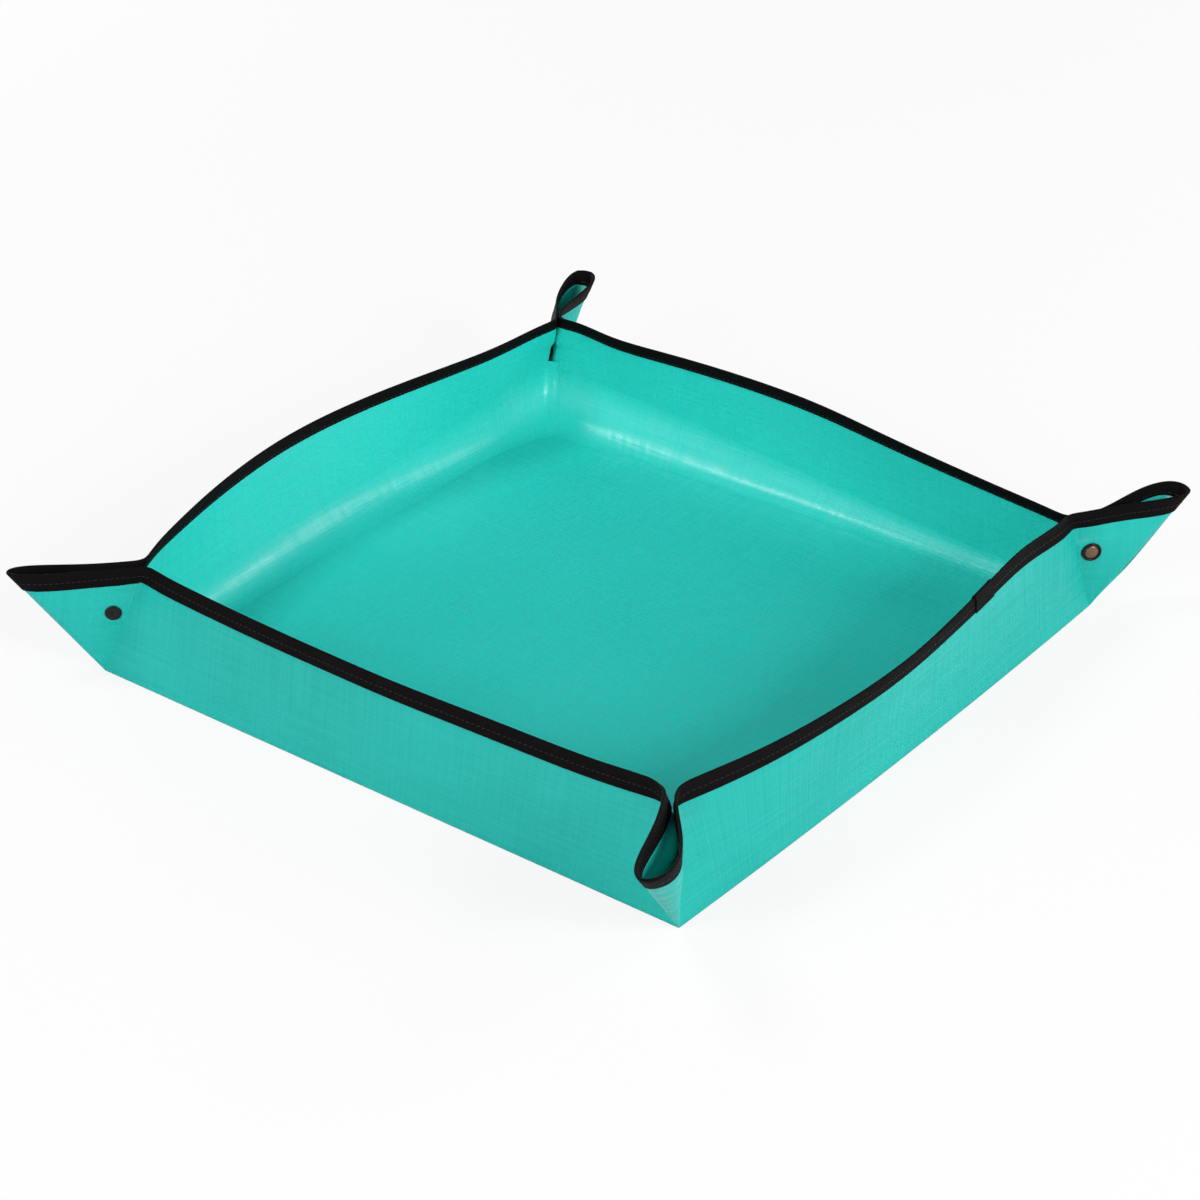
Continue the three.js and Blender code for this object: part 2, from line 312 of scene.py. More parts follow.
class Panel(ABC):
    """A panel of the sheet as it stands: a place along its rim and a depth below it give a point."""

    STEP = 1e-4

    def __init__(self, name: str, sizes: MatSizes) -> None:
        """Keep what all panels have.

        Args:
            name: The panel's name, which its moving body has too.
            sizes: The mat's sizes.
        """
        self.name = name
        self.body = name
        self.joint = f"{name}_fold"
        self.sizes = sizes

    @property
    @abstractmethod
    def depth(self) -> float:
        """How far the panel reaches down from its rim."""

    @property
    @abstractmethod
    def rim_run(self) -> float:
        """The length of its rim."""

    @property
    @abstractmethod
    def lie(self) -> tuple[Vector, Vector]:
        """A normal of the panel's plane, and a point on that plane."""

    @abstractmethod
    def spread(self, share: float) -> float:
        """The share of the rim's length at an even share of the columns, closer together at its ends."""

    @abstractmethod
    def point(self, along: float, below: float) -> Vector:
        """The middle of the sheet at a share of the rim's length and a depth below the rim."""

    @abstractmethod
    def cloth(self, along: float, below: float) -> tuple[float, float]:
        """The same place on the mat lying flat, in metres, which its weave follows."""

    @abstractmethod
    def facing(self, normal: Vector, along: float) -> Vector:
        """The normal or its opposite, whichever points out of the tray."""

    def outward(self, along: float, below: float) -> Vector:
        """The direction out of the tray, square to the sheet.

        Args:
            along: The share of the rim's length.
            below: The depth below the rim.

        Returns:
            A unit direction.
        """
        step = self.STEP
        low, high = max(0.0, along - step), min(1.0, along + step)
        run = self.point(high, below) - self.point(low, below)
        fall = self.point(along, below + step) - self.point(along, below - step)
        return self.facing(run.cross(fall).normalized(), along)


class WallPanel(Panel):
    """One wall, from its fold line up to the rim and from crease to crease."""

    BOW_ROUNDING = 0.25
    END_CROWDING = 0.9
    CLOSING_REACH = 0.018
    RIPPLES_ALONG = 11
    RIPPLES_UP = 17
    RIPPLE_START = 3.1
    RIPPLE_STEP = 5.7
    ROLL_LIFT = 0.7
    ROLL_INSET_SHARE = 0.9
    ROLL_FLOOR_SHARE = 0.35
    ROLL_WALL_SHARE = 0.4
    LIP_WIDTH = 0.0028
    LIP_CLOSING = 1.15

    def __init__(self, form: WallForm, sizes: MatSizes) -> None:
        """Find the wall's corners.

        Args:
            form: How the wall stands.
            sizes: The mat's sizes.
        """
        super().__init__(f"{form.name}_wall", sizes)
        self.form = form
        self.angle = form.turn * math.pi / 2
        self.end_corner = Corner(EARS[form.turn], sizes)
        self.start_corner = Corner(EARS[form.turn - 1], sizes)

    @property
    def depth(self) -> float:
        """How far the wall reaches down from its rim."""
        return self.sizes.wall_depth

    @property
    def rim_run(self) -> float:
        """The length of its rim."""
        return 2 * (self.sizes.base_half - self.sizes.rim_inset)

    @property
    def lie(self) -> tuple[Vector, Vector]:
        """The normal of the plane of its creases, and the middle of its fold line."""
        lean = self.sizes.crease_lean
        normal = turned(Vector((0, -math.cos(lean), -math.sin(lean))), self.angle)
        return normal, turned(Vector((0, -self.sizes.base_half, self.sizes.fold_rise)), self.angle)

    def spread(self, share: float) -> float:
        """The share of the rim's length at an even share of the columns, closer together at its ends."""
        quarter = math.pi / 2 * self.END_CROWDING
        return 0.5 + math.sin((2 * share - 1) * quarter) / math.sin(quarter) / 2

    def bow(self, across: float) -> float:
        """How much of the wall's own lean it has at a place from -1 to 1 between its creases."""
        fall = math.hypot(across, self.BOW_ROUNDING) ** self.form.fullness
        least = self.BOW_ROUNDING**self.form.fullness
        most = math.hypot(1, self.BOW_ROUNDING) ** self.form.fullness
        return (1 - (fall - least) / (most - least)) * (1 + self.form.skew * across)

    def point(self, along: float, below: float) -> Vector:
        """The middle of the sheet at a share of the rim's length and a depth below the rim."""
        sizes = self.sizes
        across = 2 * along - 1
        up = sizes.wall_depth - below
        height = up / sizes.wall_depth
        tilt = lerp(sizes.crease_lean, math.radians(self.form.lean_deg), self.bow(across))
        half = sizes.base_half - sizes.rim_inset * height
        place = Vector((across * half, -sizes.base_half, sizes.fold_rise))
        place += Vector((0, -math.sin(tilt), math.cos(tilt))) * up
        inner = 1 - across * across
        swell = self.form.foot_bow * inner * max(0.0, 1 - height) ** 3
        swell += self.ripple(place.x, up) * inner * math.sqrt(max(0.0, height))
        place.y -= swell
        corner, side = self.end_corner, FlapSide.ENDING
        if across <= 0:
            corner, side = self.start_corner, FlapSide.STARTING
        spot = corner.from_mat(turned(place, self.angle))
        distance = (1 - abs(across)) * half
        back = Vector((math.sin(sizes.fold_turn / 2), side.value * math.cos(sizes.fold_turn / 2), 0))
        spot += back * corner.drop(distance, height)
        closing = corner.half_gap(height) - sizes.neck_gap / 2 * height
        spot.y += side.value * closing * math.exp(-((distance / self.CLOSING_REACH) ** 2))
        return corner.to_mat(corner.pulled(spot, side))

    def ripple(self, run: float, up: float) -> float:
        """The small waves of the sheet, at a place along the wall and up it."""
        layer = self.RIPPLE_START + self.form.turn * self.RIPPLE_STEP
        return self.form.wave * noise.noise(Vector((run * self.RIPPLES_ALONG, up * self.RIPPLES_UP, layer)))

    def cloth(self, along: float, below: float) -> tuple[float, float]:
        """The same place on the mat lying flat, in metres."""
        up = self.sizes.wall_depth - below
        half = self.sizes.base_half - self.sizes.rim_inset * up / self.sizes.wall_depth
        flat = turned(Vector(((2 * along - 1) * half, -self.sizes.base_half - up, 0)), self.angle)
        return flat.x, flat.y

    def facing(self, normal: Vector, along: float) -> Vector:
        """The normal or its opposite, whichever points out of the tray."""
        out = turned(Vector((0, -1, 0)), self.angle)
        return normal if normal.dot(out) > 0 else -normal

    def roll(self, along: float) -> RollEnd:
        """The roll at a share of the wall's length, between those at its ends."""
        start, end = self.form.roll_start, self.form.roll_end
        near, far = (1 - along) ** start.fade, along**end.fade
        share = far / (near + far)
        return RollEnd(
            inset=start.inset * near + end.inset * far,
            over_floor=lerp(start.over_floor, end.over_floor, share),
            up_wall=lerp(start.up_wall, end.up_wall, share),
        )

    def roll_point(self, along: float, share: float) -> Vector:
        """A point of the roll at the wall's foot.

        Args:
            along: The share of the wall's length.
            share: From 0 on the floor to 1 on the wall.

        Returns:
            The middle of the sheet there.
        """
        sizes, roll = self.sizes, self.roll(along)
        lift = sizes.sheet * self.ROLL_LIFT
        inner = roll.inset * self.ROLL_INSET_SHARE + roll.over_floor * self.ROLL_FLOOR_SHARE
        knots = []
        for inset in (roll.inset + roll.over_floor, inner):
            run = (2 * along - 1) * (sizes.base_half - inset)
            knots.append(turned(Vector((run, -sizes.base_half + inset, lift)), self.angle))
        for up in (roll.up_wall * self.ROLL_WALL_SHARE, roll.up_wall):
            knots.append(self.point(along, sizes.wall_depth - up))
        rest = 1 - share
        weights = rest**3, 3 * rest * rest * share, 3 * rest * share * share, share**3
        place = sum((knot * weight for knot, weight in zip(knots, weights)), Vector((0, 0, 0)))
        form = self.form
        ends = (self.start_corner, form.roll_start, along), (self.end_corner, form.roll_end, 1 - along)
        for corner, end, reach in ends:
            fall = math.exp(-((reach * self.rim_run / self.LIP_WIDTH) ** 2))
            spot = corner.from_mat(place)
            spot.x -= end.lip * fall * math.sqrt(math.sin(math.pi * share))
            spot.y *= 1 - self.LIP_CLOSING * fall
            place = corner.to_mat(spot)
        return place

    def roll_cloth(self, along: float, share: float) -> tuple[float, float]:
        """The roll's place on the mat lying flat."""
        roll, half = self.roll(along), self.sizes.base_half
        fall = lerp(roll.inset + roll.over_floor, -roll.up_wall, share)
        flat = turned(Vector(((2 * along - 1) * half, -half + fall, 0)), self.angle)
        return flat.x, flat.y


class FlapPanel(Panel):
    """One flap of an ear, from its crease with a wall out to the fold at the ear's edge."""

    LEAN_POWER = 1.2
    LOOP_START_RIM = 0.05
    LOOP_START_SNAP = 0.36
    LOOP_BLEND_FROM = 0.7
    BINDING_HALF = 0.0012
    FACING_TURNS_FROM = 0.9

    def __init__(self, ear: EarForm, side: FlapSide, sizes: MatSizes) -> None:
        """Find the flap's wall, corner and tip.

        Args:
            ear: How the ear stands.
            side: Which wall the flap carries on from.
            sizes: The mat's sizes.
        """
        wall = WALLS[ear.turn if side is FlapSide.ENDING else (ear.turn + 1) % len(WALLS)]
        super().__init__(f"{ear.name}_ear_{wall.name}", sizes)
        self.ear = ear
        self.side = side
        self.wall_name = wall.name
        self.corner = Corner(ear, sizes)
        self.angle = self.corner.angle
        self.tip = self.find_tip()

    def find_tip(self) -> Vector:
        """The rim's end of the ear's outer fold, from the floor's corner.

        Returns:
            The tip, with x out along the diagonal.
        """
        sizes = self.sizes
        neck = sizes.neck
        fold_length = sizes.wall_depth * math.sqrt(2)
        neck_reach = math.hypot(neck.x, neck.z)
        along = (fold_length**2 + neck.length_squared - sizes.pinch**2) / (2 * neck_reach)
        across = math.sqrt(fold_length**2 - along**2)
        up = Vector((neck.x, 0, neck.z)) / neck_reach
        tip = up * along + Vector((up.z, 0, -up.x)) * across
        return tip * ((fold_length - self.ear.draw_in) / tip.length)

    @property
    def depth(self) -> float:
        """How far the floor's corner is from the rim."""
        return self.sizes.neck.cross(self.tip).length / self.rim_run

    @property
    def rim_run(self) -> float:
        """The length of its rim."""
        return (self.sizes.neck - self.tip).length

    @property
    def lie(self) -> tuple[Vector, Vector]:
        """The normal of the plane of its crease and outer fold, and the floor's corner."""
        neck = self.sizes.neck
        crease = Vector((neck.x, self.side.value * neck.y, neck.z))
        return turned(crease.cross(self.tip).normalized(), self.angle), self.corner.place

    def spread(self, share: float) -> float:
        """The share of the rim's length at an even share of the columns, closer together at its ends."""
        return (1 - math.cos(math.pi * share)) / 2

    def point(self, along: float, below: float) -> Vector:
        """The middle of the sheet at a share of the rim's length and a depth below the rim."""
        rise = 1 - below / self.depth
        start = lerp(self.LOOP_START_SNAP, self.LOOP_START_RIM, smoothstep(rise, self.LOOP_BLEND_FROM, 1))
        opened = max(0.0, (along - start) / (1 - start))
        round_end = math.sqrt(max(0.0, 1 - along) / (1 - start))
        power = self.ear.fullness
        peak = (power / (power + 0.5)) ** power * math.sqrt(0.5 / (power + 0.5))
        width = self.ear.side(self.side).opening + self.BINDING_HALF
        belly = width * opened**power * round_end / peak
        spot = self.sizes.neck.lerp(self.tip, along) * rise
        spot.y = (1 - along) * self.corner.half_gap(rise) + belly * rise
        spot.y = self.side.value * spot.y - self.ear.tip_lean * opened**self.LEAN_POWER * rise
        turn = self.sizes.fold_turn
        drop = self.corner.drop(along * self.rim_run * rise, rise)
        spot += Vector((math.sin(turn / 2), self.side.value * math.cos(turn / 2), 0)) * drop
        return self.corner.to_mat(self.corner.pulled(spot, self.side))

    def cloth(self, along: float, below: float) -> tuple[float, float]:
        """The same place on the mat lying flat, in metres."""
        sizes = self.sizes
        rise = 1 - below / self.depth
        half = sizes.base_half
        if self.side is FlapSide.ENDING:
            run = Vector((lerp(-sizes.rim_inset, sizes.wall_depth, along), -sizes.wall_depth, 0))
        else:
            run = Vector((sizes.wall_depth, lerp(sizes.rim_inset, -sizes.wall_depth, along), 0))
        flat = turned(Vector((half, -half, 0)) + run * rise, self.ear.turn * math.pi / 2)
        return flat.x, flat.y

    def facing(self, normal: Vector, along: float) -> Vector:
        """The normal or its opposite, whichever points out of the ear."""
        side_way = turned(Vector((0, self.side.value, 0)), self.angle)
        tip_way = turned(Vector((1, 0, 0)), self.angle)
        out = side_way.lerp(tip_way, smoothstep(along, self.FACING_TURNS_FROM, 1))
        return normal if normal.dot(out) > 0 else -normal


@dataclass(frozen=True)
class NodePen:
    """Adds nodes to a material's tree and joins them."""

    tree: NodeTree

    def add(self, kind: str, settings: dict | None = None, **sockets: object) -> Node:
        """Add a node.

        Args:
            kind: The node's type, without its ShaderNode prefix.
            settings: Its own properties.
            sockets: Its inputs by name, with spaces as underscores, each a value or a socket to join.

        Returns:
            The node.
        """
        node = self.tree.nodes.new(f"ShaderNode{kind}")
        for key, value in (settings or {}).items():
            setattr(node, key, value)
        for key, value in sockets.items():
            name = key.replace("_", " ")
            socket = node.inputs[int(key[1:])] if key[1:].isdigit() else node.inputs[name]
            if isinstance(value, NodeSocket):
                self.tree.links.new(value, socket)
            else:
                socket.default_value = value
        return node

    def math(self, operation: str, first: object, second: object = 0.0) -> NodeSocket:
        """Add a calculation on two values and give its result."""
        return self.add("Math", {"operation": operation}, i0=first, i1=second).outputs[0]

    def ramp(self, value: NodeSocket, low: float, high: float, middle: float = 0.5) -> NodeSocket:
        """Spread a value over low to high.

        Args:
            value: A value about 0.5.
            low: The result at its low end.
            high: The result at its high end.
            middle: How far its ends are from 0.5.

        Returns:
            The result.
        """
        ends = {"From_Min": 0.5 - middle, "From_Max": 0.5 + middle, "To_Min": low, "To_Max": high}
        return self.add("MapRange", None, Value=value, **ends).outputs[0]

    def blend(self, share: NodeSocket, first: Sequence[int], second: Sequence[int]) -> NodeSocket:
        """Mix two colours written as on a screen and give the result."""
        mix = self.add("Mix", {"data_type": "RGBA"}, i0=share, i6=srgb(*first), i7=srgb(*second))
        return mix.outputs[2]

    def noise(self, place: NodeSocket, scale: float, detail: float, roughness: float = 0.5) -> NodeSocket:
        """Add noise at a place and give its value, about 0.5."""
        sockets = {"Vector": place, "Scale": scale, "Detail": detail, "Roughness": roughness}
        return self.add("TexNoise", None, **sockets).outputs[0]

    def waves(self, place: NodeSocket, length: float) -> list[NodeSocket]:
        """Add waves of a length along a place's x and along its y, and give both."""
        parts = self.add("SeparateXYZ", None, Vector=place).outputs
        turns = 2 * math.pi / length
        return [self.math("SINE", self.math("MULTIPLY", parts[axis], turns)) for axis in range(2)]

    def bump(self, height: NodeSocket, strength: float, depth: float) -> NodeSocket:
        """Add a bump from a height and give its normal."""
        return self.add("Bump", None, Strength=strength, Distance=depth, Height=height).outputs[0]

    def join(self, shader: Node, **sockets: NodeSocket) -> None:
        """Join values to a shader's inputs, named with spaces as underscores."""
        for name, socket in sockets.items():
            self.tree.links.new(socket, shader.inputs[name.replace("_", " ")])


def new_material(name: str) -> tuple[Material, NodePen, Node]:
    """Start a material.

    Args:
        name: Its name.

    Returns:
        The material, a pen for its nodes and its shader.
    """
    material = bpy.data.materials.new(name)
    material.use_nodes = True
    shader = next(n for n in material.node_tree.nodes if n.type == "BSDF_PRINCIPLED")
    return material, NodePen(material.node_tree), shader


def srgb(red: int, green: int, blue: int) -> tuple[float, float, float, float]:
    """A colour written as on a screen, as the linear colour that a shader takes."""
    screen = (red / 255, green / 255, blue / 255)
    linear = (c / 12.92 if c <= 0.04045 else ((c + 0.055) / 1.055) ** 2.4 for c in screen)
    return (*linear, 1.0)


@dataclass(frozen=True)
class CoatedSheetFinish:
    """A face of the woven plastic sheet with its coat: flat yarns show as fine streaks both ways."""

    name: str
    deep: tuple[int, int, int]
    bright: tuple[int, int, int]
    specular: float
    coat: float
    coat_roughness: float = 0.28
    coat_spread: float = 0.13
    roughness_low: float = 0.3
    roughness_high: float = 0.62
    roughness_spread: float = 0.14
    yarn: float = 0.0021
    streaks: tuple[float, float] = (420, 11)
    sheen_bands: tuple[float, float] = (170, 9)
    clouds: float = 6.0
    streak_tone: float = 0.65
    streak_spread: float = 0.22
    cloud_spread: float = 0.25
    weave_height: float = 0.25
    streak_height: float = 3.0
    bump: float = 0.5
    bump_depth: float = 0.0004

    def lines(self, pen: NodePen, cloth: NodeSocket, across: float, along: float) -> NodeSocket:
        """Make noise that is drawn out into lines both ways of the cloth.

        Args:
            pen: The material's pen.
            cloth: The place on the flat mat.
            across: How many times a metre the noise changes across a line.
            along: How many times a metre it changes along one.

        Returns:
            A value about 0.5.
        """
        noises = []
        for way in ((across, along, 1), (along, across, 1)):
            lined = pen.add("Mapping", None, Vector=cloth, Scale=way).outputs[0]
            noises.append(pen.noise(lined, scale=1.0, detail=3.0, roughness=0.6))
        return pen.math("MULTIPLY", pen.math("ADD", *noises), 0.5)

    def material(self) -> Material:
        """Make the material.

        Returns:
            The coated sheet's material, which follows the cloth map.
        """
        material, pen, shader = new_material(self.name)
        cloth = pen.add("UVMap", {"uv_map": CLOTH_MAP}).outputs[0]
        streak = self.lines(pen, cloth, *self.streaks)
        cloud = pen.noise(cloth, self.clouds, detail=2.0)
        fine = pen.ramp(streak, 0.0, self.streak_tone, self.streak_spread)
        broad = pen.ramp(cloud, 0.0, 1 - self.streak_tone, self.cloud_spread)
        weave = pen.math("MULTIPLY", pen.math("MULTIPLY", *pen.waves(cloth, self.yarn)), self.weave_height)
        height = pen.math("ADD", weave, pen.math("MULTIPLY", streak, self.streak_height))
        pen.join(
            shader,
            Base_Color=pen.blend(pen.math("ADD", fine, broad), self.deep, self.bright),
            Roughness=pen.ramp(streak, self.roughness_high, self.roughness_low, self.roughness_spread),
            Normal=pen.bump(height, self.bump, self.bump_depth),
        )
        shader.inputs["Specular IOR Level"].default_value = self.specular
        if self.coat:
            sheen = self.lines(pen, cloth, *self.sheen_bands)
            pen.join(shader, Coat_Weight=pen.ramp(sheen, 0.0, 2 * self.coat, self.coat_spread))
        shader.inputs["Coat Roughness"].default_value = self.coat_roughness
        return material


@dataclass(frozen=True)
class BindingTapeFinish:
    """Black ribbed tape, folded over the rim and sewn."""

    dark: tuple[int, int, int] = (5, 3, 4)
    worn: tuple[int, int, int] = (14, 10, 11)
    rib: float = 0.0009
    fuzz: float = 900.0
    wear: float = 45.0
    wear_tone: float = 0.6
    roughness_low: float = 0.6
    roughness_high: float = 0.85
    spread: float = 0.3
    bump: float = 0.5
    bump_depth: float = 0.0003
    specular: float = 0.07

    def material(self) -> Material:
        """Make the material.

        Returns:
            The tape's material, with ribs across its run.
        """
        material, pen, shader = new_material("binding_tape")
        cloth = pen.add("UVMap", {"uv_map": CLOTH_MAP}).outputs[0]
        rib = pen.math("MULTIPLY", pen.math("ADD", *pen.waves(cloth, self.rib)), 0.25)
        fuzz = pen.noise(cloth, self.fuzz, detail=3.0)
        wear = pen.noise(cloth, self.wear, detail=4.0)
        broad = pen.ramp(wear, 0.0, self.wear_tone, self.spread)
        fine = pen.ramp(fuzz, 0.0, 1 - self.wear_tone, self.spread)
        pen.join(
            shader,
            Base_Color=pen.blend(pen.math("ADD", broad, fine), self.dark, self.worn),
            Roughness=pen.ramp(fuzz, self.roughness_low, self.roughness_high, self.spread),
            Normal=pen.bump(pen.math("ADD", rib, fuzz), self.bump, self.bump_depth),
        )
        shader.inputs["Specular IOR Level"].default_value = self.specular
        return material


@dataclass(frozen=True)
class ThreadFinish:
    """Black sewing thread, a little glossier than the tape."""

    dark: tuple[int, int, int] = (12, 9, 10)
    pale: tuple[int, int, int] = (30, 26, 26)
    ply: float = 80.0
    roughness_low: float = 0.45
    roughness_high: float = 0.65
    bump: float = 0.4
    bump_depth: float = 0.0001
    specular: float = 0.25

    def material(self) -> Material:
        """Make the material.

        Returns:
            The thread's material, twisted by a fine wave.
        """
        material, pen, shader = new_material("sewing_thread")
        place = pen.add("TexCoord").outputs["Object"]
        twist = pen.add("TexWave", {"bands_direction": "DIAGONAL"}, Vector=place, Scale=self.ply).outputs[1]
        pen.join(
            shader,
            Base_Color=pen.blend(twist, self.dark, self.pale),
            Roughness=pen.ramp(twist, self.roughness_low, self.roughness_high),
            Normal=pen.bump(twist, self.bump, self.bump_depth),
        )
        shader.inputs["Specular IOR Level"].default_value = self.specular
        return material


@dataclass(frozen=True)
class SnapMetalFinish:
    """Darkened metal of the snaps, rubbed paler in places."""

    name: str
    deep: tuple[int, int, int]
    rubbed: tuple[int, int, int]
    metallic: float
    roughness_low: float
    roughness_high: float
    mottle: float = 420.0
    spread: float = 0.3
    bump: float = 0.25
    bump_depth: float = 0.0001

    def material(self) -> Material:
        """Make the material.

        Returns:
            The metal's material, mottled and finely brushed.
        """
        material, pen, shader = new_material(self.name)
        place = pen.add("TexCoord").outputs["Object"]
        mottle = pen.noise(place, self.mottle, detail=4.0, roughness=0.65)
        pen.join(
            shader,
            Base_Color=pen.blend(pen.ramp(mottle, 0.0, 1.0, self.spread), self.deep, self.rubbed),
            Roughness=pen.ramp(mottle, self.roughness_low, self.roughness_high, self.spread),
            Normal=pen.bump(mottle, self.bump, self.bump_depth),
        )
        shader.inputs["Metallic"].default_value = self.metallic
        return material


@dataclass(frozen=True)
class Finishes:
    """The mat's materials, made once."""

    inner: Material
    outer: Material
    tape: Material
    thread: Material
    bronze: Material
    black: Material

    @classmethod
    def make(cls) -> "Finishes":
        """Make all the materials."""
        # The inside face's coat and gloss are the sheet's own. Its base colour is painted lighter than the
        # outside's, as painted light for the extra light that falls inside the tray.
        inner = CoatedSheetFinish(
            name="coated_sheet_inside_painted_lighter", deep=(23, 199, 188), bright=(43, 213, 204), specular=0.5, coat=0.46
        )
        outer = CoatedSheetFinish(
            name="coated_sheet_outside", deep=(5, 162, 152), bright=(19, 186, 177), specular=0.33, coat=0.0
        )
        bronze = SnapMetalFinish(
            name="snap_bronze", deep=(96, 70, 56), rubbed=(150, 118, 98), metallic=0.75,
            roughness_low=0.32, roughness_high=0.57,
        )
        black = SnapMetalFinish(
            name="snap_black", deep=(16, 12, 14), rubbed=(38, 33, 34), metallic=0.6,
            roughness_low=0.3, roughness_high=0.55,
        )
        made = (inner, outer, BindingTapeFinish(), ThreadFinish(), bronze, black)
        return cls(*(finish.material() for finish in made))


def add_grid(
    bm: BMesh,
    columns: int,
    rows: int,
    place: Callable[[float, float], Vector],
    cloth: Callable[[float, float], tuple[float, float]],
) -> dict[BMVert, tuple[float, float]]:
    """Add a grid and move its vertices onto a surface.

    Args:
        bm: The mesh that it goes in.
        columns: Its faces one way.
        rows: Its faces the other way.
        place: Gives a point for two shares from 0 to 1.
        cloth: Gives the place on the flat mat for the same two shares.

    Returns:
        The grid's vertices with their two shares.
    """
    verts = bmesh.ops.create_grid(bm, x_segments=columns, y_segments=rows, size=1.0)["verts"]
    cloth_map = bm.loops.layers.uv.get(CLOTH_MAP) or bm.loops.layers.uv.new(CLOTH_MAP)
    spots = {vert: ((vert.co.x + 1) / 2, (vert.co.y + 1) / 2) for vert in verts}
    for vert, spot in spots.items():
        for loop in vert.link_loops:
            loop[cloth_map].uv = cloth(*spot)
    for vert, spot in spots.items():
        vert.co = place(*spot)
    return spots


def add_panel(
    bm: BMesh, panel: Panel, columns: int, rows: int, spot: Callable[[float, float], tuple[float, float]]
) -> dict[BMVert, tuple[float, float]]:
    """Add a grid that lies on a panel.

    Args:
        bm: The mesh that it goes in.
        panel: The panel.
        columns: Its faces along the rim.
        rows: Its faces up the panel.
        spot: Gives the share of the rim and the depth for two shares from 0 to 1.

    Returns:
        The grid's vertices with their two shares.
    """

    def place(run: float, rise: float) -> Vector:
        """A point of the grid."""
        return panel.point(*spot(run, rise))

    def cloth(run: float, rise: float) -> tuple[float, float]:
        """The same place on the flat mat."""
        return panel.cloth(*spot(run, rise))

    return add_grid(bm, columns, rows, place, cloth)


def face_towards(bm: BMesh, verts: Iterable[BMVert], spot: Vector, way: Vector) -> None:
    """Turn a grid's faces round if they point the wrong way.

    Args:
        bm: The mesh.
        verts: The grid's vertices.
        spot: A place on the grid.
        way: The direction that the face there has to have.
    """
    faces = list({face: None for vert in verts for face in vert.link_faces})
    bm.normal_update()
    nearest = min(faces, key=lambda face: (face.calc_center_median() - spot).length_squared)
    if nearest.normal.dot(way) < 0:
        bmesh.ops.reverse_faces(bm, faces=faces)


def make_piece(name: str, bm: BMesh, materials: Sequence[Material]) -> Object:
    """Make an object at the origin from a finished mesh.

    Args:
        name: The piece's name.
        bm: Its mesh, which is freed.
        materials: Its materials, in the order of its faces' slots.

    Returns:
        The object.
    """
    for face in bm.faces:
        face.smooth = True
    mesh = bpy.data.meshes.new(name)
    bm.to_mesh(mesh)
    bm.free()
    for material in materials:
        mesh.materials.append(material)
    piece = bpy.data.objects.new(name, mesh)
    bpy.context.scene.collection.objects.link(piece)
    return piece


def thicken(piece: Object, thickness: float, offset: float, group: str = "") -> None:
    """Give a sheet its thickness, and its last material to the side that it faces away from.

    Args:
        piece: The sheet.
        thickness: How thick it becomes.
        offset: -1 behind the sheet, 0 about its middle, 1 in front of it.
        group: A vertex group whose weights thin it.
    """
    modifier = piece.modifiers.new("thickness", "SOLIDIFY")
    modifier.thickness = thickness
    modifier.offset = offset
    modifier.vertex_group = group
    modifier.material_offset = len(piece.data.materials) - 1
    piece.modifiers.new("even_shading", "WEIGHTED_NORMAL")


def round_edges(piece: Object, width: float, segments: int) -> None:
    """Round a piece's sharp edges.

    Args:
        piece: The piece.
        width: How far the rounding reaches.
        segments: How many faces it has.
    """
    modifier = piece.modifiers.new("rounded_edges", "BEVEL")
    modifier.width = width
    modifier.segments = segments
    modifier.limit_method = "ANGLE"
    modifier.angle_limit = math.radians(SHARP_DEG)


def follow(piece: Object, panel: Panel) -> None:
    """Make a piece move with its panel.

    Args:
        piece: The piece.
        panel: The panel that it belongs to.
    """
    normal, anchor = panel.lie
    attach(piece, panel.body)
    tuple(normal)
    tuple(anchor)
    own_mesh(piece)


@dataclass
class FloorSheet:
    """The mat's square floor between the four fold lines."""

    sizes: MatSizes
    finishes: Finishes
    right_bow: float = 0.004
    steps: int = 72
    lift: float = 0.75
    wave: float = 0.00025
    waves: float = 9
    wave_layer: float = 0.7

    def point(self, across: float, along: float) -> Vector:
        """The middle of the sheet at two shares of the floor's sides."""
        half = self.sizes.base_half
        x, y = self.cloth(across, along)
        edge = max(0.0, x / half) ** 3
        swell = self.right_bow * edge * (1 - (y / half) ** 2)
        wave = self.wave * abs(noise.noise(Vector((x * self.waves, y * self.waves, self.wave_layer))))
        return Vector((x + swell, y, self.sizes.sheet * self.lift + wave))

    def cloth(self, across: float, along: float) -> tuple[float, float]:
        """The same place on the mat lying flat."""
        half = self.sizes.base_half
        return lerp(-half, half, across), lerp(-half, half, along)

    def build(self) -> Object:
        """Make the floor.

        Returns:
            The floor's object.
        """
        bm = bmesh.new()
        verts = add_grid(bm, self.steps, self.steps, self.point, self.cloth)
        face_towards(bm, verts, Vector((0, 0, 0)), UP)
        piece = make_piece("floor_sheet", bm, [self.finishes.inner, self.finishes.outer])
        thicken(piece, self.sizes.sheet, 0)
        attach(piece, "base")
        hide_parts("base_panel")
        return piece


